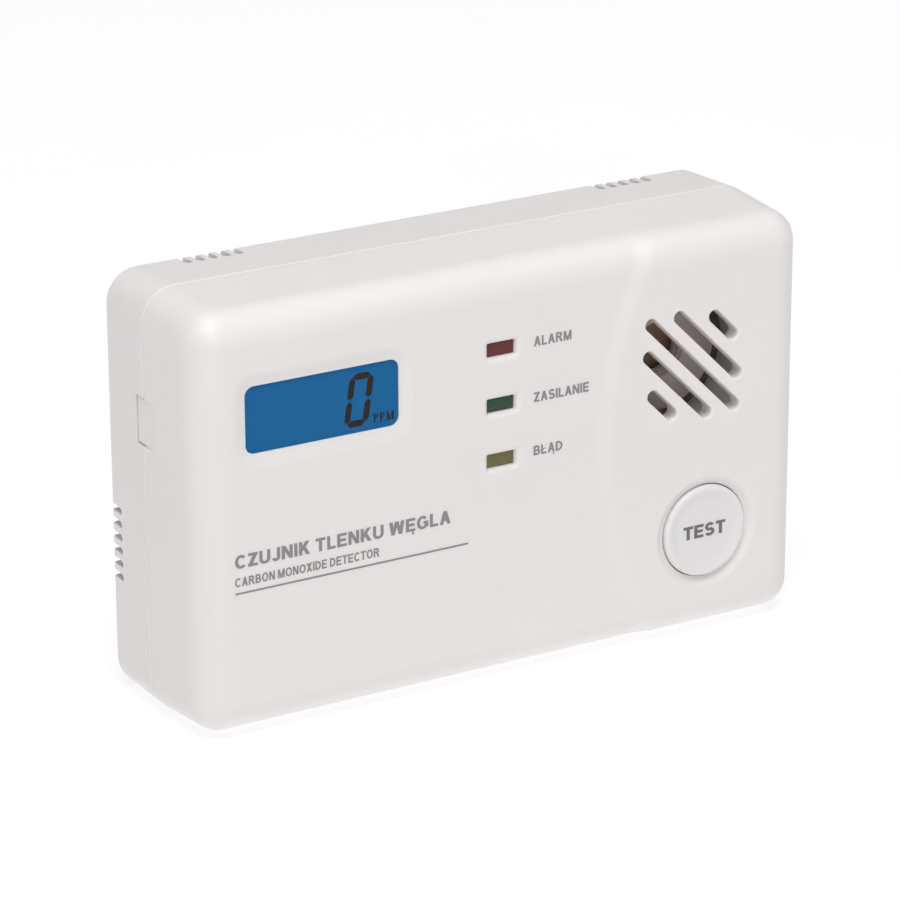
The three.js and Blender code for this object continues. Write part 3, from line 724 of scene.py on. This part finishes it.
def rear_cover():
    """The rear cover with the battery bay, screw posts, vents, keyholes and latch pockets."""
    cover = rear_skin()
    left, right, half = BAY["left"], BAY["right"], BAY["half"]
    wall, floor = BAY["wall"], BAY["floor"]
    bay = block("bay", left - wall, right + wall, floor - BAY["thick"], INNER_BACK + 0.5,
                MIDDLE - half - wall, MIDDLE + half + wall)
    combined(cover, bay, "UNION")
    places = [(sx * SCREW_AT[0], MIDDLE + sz * SCREW_AT[1]) for sx in SIDES for sz in SIDES]
    posts = [prism("post", circle(3.2, x, z, 40), PARTING + 0.15, INNER_BACK + 0.5) for x, z in places]
    combined(cover, merged("posts", posts), "UNION")
    combined(cover, block("inside", left, right, floor, BACK + PAST, MIDDLE - half, MIDDLE + half))
    lap, corner = DOOR["lap"] + DOOR["gap"], DOOR["corner"] + DOOR["gap"]
    lap_outline = rounded_outline((left + right) / 2, MIDDLE, right - left + 2 * lap, 2 * (half + lap), corner)
    combined(cover, prism("rebate", lap_outline, BACK - DOOR["thick"] - DOOR["gap"], BACK + PAST))
    cuts = vent_cutters() + [screw_well(x, z) for x, z in places]
    for side in SIDES:
        cuts.append(prism("keyhole", keyhole_outline(side * KEYHOLE["x"]), INNER_BACK - PAST, BACK + PAST))
        cuts.append(latch_cutter(side, LATCH_POCKET))
        z = MIDDLE + side * DOOR["clip"]
        cuts.append(block("tab_slot", left - 2.5, left + 0.5, INNER_BACK - 3.5, INNER_BACK - 0.05, z - 2, z + 2))
    combined(cover, merged("rear_cuts", cuts))
    cover.name = "rear_cover_moulding"
    finished(cover, "case", "case", CASE, "rear_cover")


def battery_door():
    """A plate with softened edges, two hooked tabs, two snap clips and grooves for the thumb."""
    left, right, half = BAY["left"], BAY["right"], BAY["half"]
    inner, x, soft = BACK - DOOR["thick"], (left + right) / 2, 0.35
    wide, high, corner = right - left + 2 * DOOR["lap"], 2 * (half + DOOR["lap"]), DOOR["corner"]
    rings = [[(px, inner, pz) for px, pz in rounded_outline(x, MIDDLE, wide, high, corner)]]
    for along, inward in quarter_round(5):
        trim = soft * inward
        outline = rounded_outline(x, MIDDLE, wide - 2 * trim, high - 2 * trim, corner - trim)
        rings.append([(px, BACK - soft * (1 - along), pz) for px, pz in outline])
    door = loft("door_shape", rings)
    tab = (left - 0.9, left + 0.4, inner - 1.7, inner + 0.2)
    hook = (left - 3, left + 0.4, inner - 1.7, inner - 0.5)
    clip = (right - 1.6, right - 0.4, inner - 2.6, inner + 0.2)
    for side in SIDES:
        z = MIDDLE + side * DOOR["clip"]
        for name, extent in (("tab", tab), ("hook", hook), ("clip", clip)):
            combined(door, block(name, *extent, z - 1.6, z + 1.6), "UNION")
    groove_lines = [slot_outline(right - 3 - 2 * i, MIDDLE, 7, 0.45, math.pi / 2, 6) for i in range(4)]
    combined(door, merged("grooves", [prism("groove", line, BACK - 0.5, BACK + PAST) for line in groove_lines]))
    door.name = "battery_door_moulding"
    finished(door, "battery_door", "case", CASE, "battery_door")


# ---------------- display
def display():
    """A clear sheet over two plates of glass: the front one fills the window, the rear one is larger."""
    x, z, wide, high, corner = (WINDOW[k] for k in ("x", "z", "wide", "high", "corner"))
    face, plate_front = MAIN_FACE + DISH["deep"], INNER_FACE - 0.5
    sheet_outline = rounded_outline(x, z, wide - 0.1, high - 0.1, corner)
    clear = prism("display_window_sheet", sheet_outline, face + 0.04, face + 0.16)
    finished(clear, "case", "window", WINDOW_CLEAR, "display_window", bevel=0.04)
    blue = face + 0.26
    glass_outline = rounded_outline(x, z, wide - 0.06, high - 0.06, corner)
    glass = prism("display_glass_sheet", glass_outline, blue, plate_front + 0.1)
    rear = block("display_rear_plate", x - 15.5, x + 15.5, plate_front, plate_front + 1.2, z - 9.2, z + 7.2)
    combined(glass, rear, "UNION")
    finished(glass, "case", "display", DISPLAY, "display_glass")
    digit(blue)


def digit(face):
    """The figure nought of six pointed bars that lean to the right, and the unit mark beside it."""
    high, wide, half, gap, lean = 8.8, 4.4, 0.53, 0.09, 0.15
    x0, z0 = WINDOW["x"] + 3.8, MIDDLE + 12.95

    def pointed(ax, az, bx, bz):
        """A bar between two corner points, level or upright, its ends cut to points."""
        if bx > ax:
            ax, bx = ax + gap, bx - gap
            shape = [(ax, az), (ax + half, az - half), (bx - half, az - half), (bx, az), (bx - half, az + half),
                     (ax + half, az + half)]
        else:
            az, bz = az + gap, bz - gap
            shape = [(ax, az), (ax + half, az + half), (ax + half, bz - half), (ax, bz), (ax - half, bz - half),
                     (ax - half, az + half)]
        return [(x0 + px + lean * pz, z0 + pz) for px, pz in shape]

    left, right, low, top, middle = half, wide - half, half, high - half, high / 2
    shapes = [pointed(left, low, right, low), pointed(left, top, right, top)]
    shapes += [pointed(x, z, x, z + middle - half) for x in (left, right) for z in (low, middle)]
    printed = face - 0.03
    raised_print("display_digit", [shapes], printed, SEGMENT)
    lettering("display_unit", "ppm", -25.15, -21.3, MIDDLE + 12.97, 1.52, 0.105, printed, SEGMENT)


# ---------------- printed words
INK_THICK, WORD_SPACE = 0.025, 0.26


def bar(x0, z0, x1, z1):
    """A level or upright stroke between two corners."""
    return [(x0, z0), (x1, z0), (x1, z1), (x0, z1)]


def slant(x0, z0, x1, z1, across):
    """A sloping stroke with level ends, across wide, between the left sides of its ends."""
    return [(x0, z0), (x0 + across, z0), (x1 + across, z1), (x1, z1)]


def bow(x, z, rx, rz, start, end, weight, steps=14):
    """A curved stroke of an ellipse's rim, from one angle to another in degrees."""
    turn = [math.radians(start + (end - start) * i / steps) for i in range(steps + 1)]
    outer = [(x + rx * math.cos(a), z + rz * math.sin(a)) for a in turn]
    inner = [(x + (rx - weight) * math.cos(a), z + (rz - weight) * math.sin(a)) for a in reversed(turn)]
    return outer + inner


def bowl(x0, x1, z0, z1, weight):
    """The closed side of a D, B or P: two level strokes joined by a half round."""
    r = (z1 - z0) / 2
    bend = max(x1 - r, x0 + 0.05)
    return [bar(x0, z0, bend, z0 + weight), bar(x0, z1 - weight, bend, z1),
            bow(bend, (z0 + z1) / 2, x1 - bend, r, -90, 90, weight)]


def letter(sign, t):
    """A capital's width and strokes, for a stroke weight of t, all in cap heights."""
    d, h = t * 1.12, t / 2
    stem = bar(0, 0, t, 1)
    arms = [bar(0, 0, 0.62, t), bar(0, 0.5 - h, 0.57, 0.5 + h), bar(0, 1 - t, 0.62, 1)]
    peak = [slant(0, 0, 0.36 - d / 2, 1, d), slant(0.72 - d, 0, 0.36 - d / 2, 1, d),
            bar(0.14, 0.25, 0.58, 0.25 + t * 0.9)]
    foot = [stem, bar(0, 0, 0.55, t)]
    hook = lambda x: [bow(x, -0.13, 0.13, 0.13, 95, 290, t * 0.55, 8)]
    head = [stem] + bowl(0, 0.66, 0.44, 1, t)
    strokes = {
        "A": (0.72, peak), "\u0104": (0.72, peak + hook(0.66)), "E": (0.62, [stem] + arms),
        "\u0118": (0.62, [stem] + arms + hook(0.52)), "L": (0.55, foot),
        "\u0141": (0.60, foot + [slant(-0.10, 0.36, 0.26, 0.60, t * 1.3)]), "I": (t, [stem]),
        "B": (0.67, [stem] + bowl(0, 0.62, 0.5 - h, 1, t) + bowl(0, 0.67, 0, 0.5 + h, t)),
        "D": (0.71, [stem] + bowl(0, 0.71, 0, 1, t)),
        "R": (0.72, head + [slant(0.70 - d, 0, 0.30, 0.5, d * 1.05)]),
        "T": (0.64, [bar(0, 1 - t, 0.64, 1), bar(0.32 - h, 0, 0.32 + h, 1)]),
        "N": (0.70, [stem, bar(0.70 - t, 0, 0.70, 1), slant(0.70 - d, 0, 0, 1, d)]),
        "M": (0.84, [stem, bar(0.84 - t, 0, 0.84, 1), slant(0.42 - d / 2, 0, 0, 1, d),
                     slant(0.42 - d / 2, 0, 0.84 - d, 1, d)]),
        "W": (1.0, [slant(0.25 - d / 2, 0, 0, 1, d), slant(0.25 - d / 2, 0, 0.5 - d / 2, 1, d),
                    slant(0.75 - d / 2, 0, 0.5 - d / 2, 1, d), slant(0.75 - d / 2, 0, 1 - d, 1, d)]),
        "Z": (0.62, [bar(0, 0, 0.62, t), bar(0, 1 - t, 0.62, 1),
                     slant(0, t / 2, 0.62 - d * 1.2, 1 - t / 2, d * 1.2)]),
        "X": (0.68, [slant(0, 0, 0.68 - d * 1.1, 1, d * 1.1), slant(0.68 - d * 1.1, 0, 0, 1, d * 1.1)]),
        "K": (0.70, [stem, slant(t - d * 1.2, 0.26, 0.68 - d * 1.2, 1, d * 1.2),
                     slant(0.70 - d * 1.1, 0, 0.18, 0.6, d * 1.1)]),
        "C": (0.72, [bow(0.38, 0.5, 0.38, 0.51, 42, 318, t, 24)]),
        "G": (0.76, [bow(0.38, 0.5, 0.38, 0.51, 42, 335, t, 24), bar(0.44, 0.38, 0.76, 0.38 + t),
                     bar(0.76 - t, 0.13, 0.76, 0.45)]),
        "O": (0.78, [bow(0.39, 0.5, 0.39, 0.51, 0, 180, t, 18), bow(0.39, 0.5, 0.39, 0.51, 180, 360, t, 18)]),
        "S": (0.66, [bow(0.33, 0.745 - h / 2, 0.31, 0.265 + h / 2, 25, 270, t, 18),
                     bow(0.33, 0.255 + h / 2, 0.33, 0.265 + h / 2, 90, -155, t, 18)]),
        "U": (0.70, [bar(0, 0.34, t, 1), bar(0.70 - t, 0.34, 0.70, 1),
                     bow(0.35, 0.34, 0.35, 0.35, 180, 360, t, 16)]),
        "J": (0.52, [bar(0.52 - t, 0.28, 0.52, 1), bow(0.26, 0.28, 0.26, 0.29, 190, 360, t, 14)]),
        # the display's unit mark has small feet on its letters
        "p": (0.62, [bar(0.10, 0, 0.10 + t * 1.6, 1), bar(0, 0, 0.36, t * 0.7), bar(0, 1 - t * 0.7, 0.3, 1)]
              + bowl(0.1, 0.60, 0.45, 1, t)),
        "m": (0.95, [bar(0.12, 0, 0.12 + t, 1), bar(0.72, 0, 0.72 + t * 1.7, 1), bar(0, 0, 0.30, t * 0.7),
                     bar(0.60, 0, 0.98, t * 0.7), bar(0, 1 - t * 0.7, 0.24, 1), bar(0.70, 1 - t * 0.7, 0.98, 1),
                     slant(0.44 - t, 0, 0.08, 1, t * 1.8), slant(0.44 - t * 0.4, 0, 0.76, 1, t)]),
    }
    return strokes[sign]


def turns_left(shape):
    """Whether an outline goes round anticlockwise."""
    return sum(a[0] * b[1] - b[0] * a[1] for a, b in zip(shape, shape[1:] + shape[:1])) > 0


def raised_print(name, glyphs, face, finish, body="case"):
    """Thin ink: each glyph's strokes are joined into one flat shape, which then gets its thickness."""
    made = bmesh.new()
    for shapes in glyphs:
        shapes = [shape if turns_left(shape) else shape[::-1] for shape in shapes]
        points = [Vector(p) for shape in shapes for p in shape]
        loops, start = [], 0
        for shape in shapes:
            loops.append(list(range(start, start + len(shape))))
            start += len(shape)
        flat, _, faces, _, _, source = delaunay_2d_cdt(points, [], loops, 1, 1e-5)
        corners = [made.verts.new(Vector((px, face, pz)) * MM) for px, pz in flat]
        for corner_ids, kept in zip(faces, source):
            if kept:
                made.faces.new([corners[i] for i in corner_ids])
    bmesh.ops.delete(made, geom=[v for v in made.verts if not v.link_faces], context="VERTS")
    grown = bmesh.ops.extrude_face_region(made, geom=made.faces[:])["geom"]
    for vertex in grown:
        if isinstance(vertex, bmesh.types.BMVert):
            vertex.co.y += INK_THICK * MM
    bmesh.ops.recalc_face_normals(made, faces=made.faces)
    piece = new_object(name, made)
    piece.data.materials.append(finish)
    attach(piece, body)


def lettering(name, words, left, right, z, cap_height, weight, face, finish, body="case", spacing=0.11):
    """A line of capitals from left to right, spread to fill that width."""
    glyphs, x = [], 0.0
    for sign in words:
        if sign == " ":
            x += WORD_SPACE
            continue
        wide, shapes = letter(sign, weight)
        glyphs.append([[(x + px, pz) for px, pz in shape] for shape in shapes])
        x += wide + spacing
    across = (right - left) / (x - spacing)

    def placed(shape):
        return [(left + px * across, z + pz * cap_height) for px, pz in shape]

    lines = [[placed(shape) for shape in shapes] for shapes in glyphs]
    raised_print(name, lines, face, finish, body)


def printing():
    """The words on the front: a label by each lamp, and the kind of object in two languages over a rule."""
    face = MAIN_FACE - 0.012
    lines = [("print_alarm", "ALARM", 4.2, 11.3, LAMP_HEIGHTS[0] - 0.5, 1.65, 0.185),
             ("print_power", "ZASILANIE", 4.2, 14.7, MIDDLE + 11.3, 1.65, 0.185),
             ("print_fault", "B\u0141\u0104D", 4.2, 9.7, MIDDLE + 2.15, 1.65, 0.185),
             ("print_kind", "CZUJNIK TLENKU W\u0118GLA", -50.7, -11.5, MIDDLE - 6.4, 2.25, 0.2),
             ("print_kind_small", "CARBON MONOXIDE DETECTOR", -50.75, -24.7, MIDDLE - 9.45, 1.5, 0.185)]
    for name, words, left, right, z, cap_height, weight in lines:
        lettering(name, words, left, right, z, cap_height, weight, face, GREY_INK)
    raised_print("print_rule", [[bar(-50.75, MIDDLE - 10.74, -8.2, MIDDLE - 10.44)]], face, GREY_INK)


# ---------------- lamps and button
def centred(name, x, z, half_x, half_z, y0, y1):
    """A box about a line along Y."""
    return block(name, x - half_x, x + half_x, y0, y1, z - half_z, z + half_z)


def lamps():
    """Three rectangular lamps, each with a flange at its back and two legs to the board."""
    x, front = LAMP["x"], MAIN_FACE + LAMP["recess"]
    back, leg, leg_apart, board_front = front + LAMP["long"], 0.25, 1.27, -4.3
    kinds = (("alarm_lamp", "red_lamp", RED), ("power_lamp", "green_lamp", GREEN),
             ("fault_lamp", "yellow_lamp", YELLOW))
    for z, (node, slot, finish) in zip(LAMP_HEIGHTS, kinds):
        lens = centred(node + "_lens", x, z, LAMP["half_x"], LAMP["half_z"], front, back)
        combined(lens, centred("flange", x, z, 2.9, 1.5, back - 1.2, back), "UNION")
        finished(lens, "case", slot, finish, node, bevel=0.12)
        legs = [centred("leg", x + side * leg_apart, z, leg, leg, back - 0.1, board_front) for side in SIDES]
        finished(merged(node + "_legs", legs), "case", "plated_metal", STEEL)


def button():
    """A cap with a shallow hollow for the fingertip, a round rim, a flange under the cover and a stem."""
    x, z, radius, front = BUTTON["x"], BUTTON["z"], BUTTON["radius"], RAISED_FACE
    rim, drop, flange, stem, stem_end = 0.65, 0.7, 9.3, 1.6, -9.2
    hollow = ((0, 0.42), (5.2, 0.42), (5.9, 0.36), (6.4, 0.22), (6.8, 0.08), (7.2, 0.01))
    profile = [(r, front + y) for r, y in hollow]
    profile += [(radius - rim + rim * along, front + drop * inward) for along, inward in quarter_round(6)]
    profile += [(radius, INNER_FACE + 0.4), (flange, INNER_FACE + 0.4), (flange, INNER_FACE + 1.4),
                (7.2, INNER_FACE + 1.4), (7.2, front + 2), (stem, front + 2), (stem, stem_end), (0, stem_end)]
    cap = turned("test_button_cap", profile, x, z, 96)
    finished(cap, "test_button", "case", BUTTON_WHITE, "test_button")
    lettering("print_test", "TEST", 33.4, 41.8, MIDDLE - 18.55, 2.35, 0.215, front + 0.41, DARK_INK,
              "test_button", 0.08)


# ---------------- inside
def sounder():
    """A drum with a round port in its face, and the disc that sounds on a ledge inside it."""
    x, z, radius, front, back = (SOUNDER[k] for k in ("x", "z", "radius", "front", "back"))
    port, wall = 4.85, 1.2
    soft, port_soft, ledge, collar = 0.6, 0.3, front + 4.6, front + 3
    profile = [(0, back), (radius - 0.4, back), (radius, back - 0.4)]
    profile += [(radius - soft * inward, front + soft * (1 - along)) for along, inward in quarter_round(5)]
    profile += [(port + port_soft * inward, front + port_soft * (1 - along))
                for along, inward in reversed(quarter_round(4))]
    profile += [(port, front + 0.9), (port - 0.25, front + 0.95), (port - 0.25, front + 1.9),
                (port - 0.4, front + 1.95), (port - 0.4, collar), (port + 0.9, collar),
                (port + 0.9, front + wall), (radius - 1.4, front + wall), (radius - 1.4, ledge),
                (radius - 2.6, ledge), (radius - 2.6, back - wall), (0, back - wall)]
    finished(turned("sounder_drum", profile, x, z, 96), "case", "white_plastic", SOUNDER_WHITE, "sounder")
    rim = radius - 1.7
    disc = [(0, ledge - 0.7), (rim - 2.9, ledge - 0.7), (rim - 2.8, ledge - 0.6), (rim - 2.8, ledge - 0.4),
            (rim, ledge - 0.4), (rim, ledge - 0.1), (0, ledge - 0.1)]
    finished(turned("sounder_plate", disc, x, z, 72), "case", "brass_disc", BRASS, "sounder_disc")


def cells():
    """Three cells across the bay, the middle one turned end for end; the profile starts at the raised end."""
    body = CELL["radius"]
    profile = [(0, 0), (2.3, 0), (2.6, 0.2), (2.7, 1.25), (5.0, 1.3), (6.4, 1.4), (6.9, 1.7), (body, 2.3),
               (body, 49.9), (6.95, 50.3), (6.6, 50.5), (6.2, 50.45), (0, 50.4)]
    rows = (("top", 1, 1), ("middle", 0, -1), ("bottom", -1, 1))
    for name, row, way in rows:
        tip = CELL["left_tip"] if way > 0 else CELL["right_tip"]
        z = MIDDLE + row * CELL["pitch"]
        rings = []
        for radius, along in profile:
            rim = circle(max(radius, ON_AXIS), CELL["y"], z, 56)
            rings.append([(tip + way * along, py, pz) for py, pz in rim])
        finished(loft(f"cell_{name}_can", rings), "case", "cell_jacket", cell_jacket(f"jacket_{name}", -way),
                 f"cell_{name}")


def carried_over():
    """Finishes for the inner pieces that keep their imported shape."""
    finishes = {
        BOARD_BROWN: ["circuit_board"],
        BLACK: ["display_holder", "display_contact_strip", "button_switch", "microcontroller", "storage_capacitor",
                "sounder_coil"],
        MILKY: ["display_light_guide", "lamp_spacer", "switch_plunger", "gas_sensor_filter"],
        STEEL: ["timing_crystal", "gas_sensor"] + [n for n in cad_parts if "_screw_" in n],
        NICKEL: [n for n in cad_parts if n.startswith("contact_")],
    }
    for finish, nodes in finishes.items():
        for node in nodes:
            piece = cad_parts[node]
            if not piece.data.materials:
                piece.data.materials.append(None)
            for place in piece.material_slots:
                place.material = finish


# ---------------- studio
def floor():
    """A large pale floor that glows a little, a hundredth of a millimetre below the underside."""
    data = bpy.data.meshes.new("floor")
    half, under = 3.0, -1e-5
    corners = [(-half, -half, under), (half, -half, under), (half, half, under), (-half, half, under)]
    data.from_pydata(corners, [], [(0, 1, 2, 3)])
    plane = bpy.data.objects.new("floor", data)
    bpy.context.scene.collection.objects.link(plane)
    finish = Finish("floor_white", Roughness=0.9, Emission_Color=rgba((1.0, 1.0, 1.0)), Emission_Strength=0.745)
    finish.feed(Base_Color=finish.mix(finish.noise(60, 2), (0.28, 0.28, 0.28), (0.31, 0.31, 0.31)))
    plane.data.materials.append(finish.material)


def softbox(name, azimuth, elevation, size, power, distance=1.5):
    """A square light that faces the object: azimuth is in degrees from the front, to the right."""
    across, up = math.radians(azimuth), math.radians(elevation)
    aim = Vector((0, 0, MIDDLE * MM))
    away = Vector((math.sin(across) * math.cos(up), -math.cos(across) * math.cos(up), math.sin(up)))
    light = bpy.data.lights.new(name, "AREA")
    light.shape, light.size, light.energy = "SQUARE", size, power
    lamp = bpy.data.objects.new(name, light)
    lamp.location = aim + away * distance
    lamp.rotation_euler = (-away).to_track_quat("-Z", "Y").to_euler()
    bpy.context.scene.collection.objects.link(lamp)


def studio():
    """The floor, an even grey surround and three soft lights."""
    floor()
    world = bpy.data.worlds.new("studio")
    bpy.context.scene.world = world
    world.use_nodes = True
    background = world.node_tree.nodes["Background"]
    background.inputs["Color"].default_value = (1, 1, 1, 1)
    background.inputs["Strength"].default_value = 0.22
    softbox("key", -35, 60, 0.7, 9.4)
    softbox("low_fill", -35, 10, 0.7, 2.0)
    softbox("top", 10, 80, 1.2, 10.9)
    bpy.context.scene.view_settings.view_transform = "Standard"


def camera():
    """A long lens from the front left, a little above the object."""
    data = bpy.data.cameras.new("camera")
    data.sensor_width, data.lens = 36.0, 171.22
    data.clip_start, data.clip_end = 0.05, 20
    view = bpy.data.objects.new("camera", data)
    view.location = (-0.33883, -0.56788, 0.27789)
    view.rotation_euler = Euler([math.radians(a) for a in (69.8487, 0.2071, -30.7005)])
    bpy.context.scene.collection.objects.link(view)
    bpy.context.scene.camera = view


front_cover()
rear_cover()
battery_door()
display()
printing()
lamps()
button()
sounder()
cells()
carried_over()
studio()
camera()
